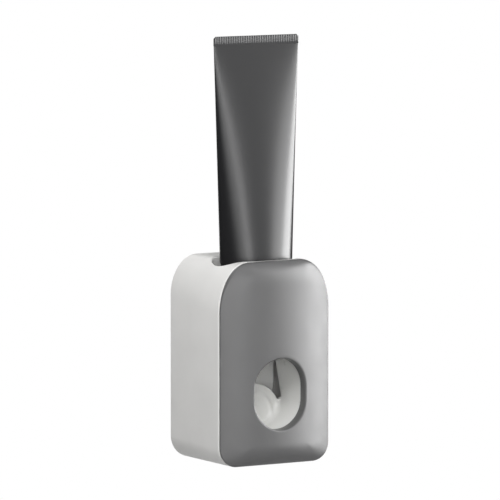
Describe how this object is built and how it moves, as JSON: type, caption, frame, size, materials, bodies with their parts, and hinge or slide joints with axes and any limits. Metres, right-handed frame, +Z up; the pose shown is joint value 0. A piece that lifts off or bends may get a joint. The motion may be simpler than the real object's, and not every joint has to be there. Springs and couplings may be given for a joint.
{
  "type": "toothpaste dispenser",
  "caption": "Wall-hung push dispenser with a slotted top for an inverted tube and an oval front opening, where a hinged scoop squeezes a silicone pump over the brush.",
  "frame": {"origin": "centre of the adhesive pad's wall face", "axes": "+Z up, +X to the viewer's right, +Y into the wall, the front towards -Y"},
  "size_m": [0.062, 0.055, 0.2089],
  "materials": {
    "housing_white": "fine satin ABS, warm white",
    "cover_grey": "satin mid-grey ABS",
    "lever_white": "smooth white ABS",
    "frame_white": "plain moulded ABS",
    "silicone": "milky silicone",
    "steel": "plain steel",
    "pad_foam": "clear-white adhesive foam",
    "tube_laminate": "satin dark-grey laminate",
    "tube_white": "white moulded polyethylene"
  },
  "bodies": {
    "wall_mount": {"wall_plate": "frame_white", "adhesive_pad": "pad_foam"},
    "housing": {"housing": "housing_white", "pump_frame": "frame_white", "frame_screws": "steel", "pivot_pins": "steel", "return_spring_left": "steel", "return_spring_right": "steel", "outlet_nozzle": "lever_white", "outlet_valve": "silicone", "silicone_pump": "silicone", "valve_seat": "lever_white", "inlet_valve": "silicone", "inlet_sleeve": "silicone", "sleeve_ring": "frame_white", "ring_screws": "steel"},
    "cover": {"front_cover": "cover_grey"},
    "lever": {"push_lever": "lever_white"},
    "tube": {"tube_shoulder": "tube_white", "tube_sleeve": "tube_laminate"}
  },
  "joints": [
    {"name": "housing_lift", "type": "slide", "parent": "wall_mount", "child": "housing", "axis": [0, 0, 1], "range_m": [0, 0.013]},
    {"name": "cover_pull", "type": "slide", "parent": "housing", "child": "cover", "axis": [0, -1, 0], "range_m": [0, 0.02]},
    {"name": "lever_push", "type": "hinge", "parent": "housing", "child": "lever", "pos_m": [0, -0.0271, 0.0249], "axis": [1, 0, 0], "range_deg": [0, 13], "stiffness_Nm_per_rad": 0.5, "springref_deg": -17.19, "deforming": ["silicone_pump", "return_spring_left", "return_spring_right"]},
    {"name": "tube_lift", "type": "slide", "parent": "housing", "child": "tube", "axis": [0, 0, 1], "range_m": [0, 0.045]}
  ]
}
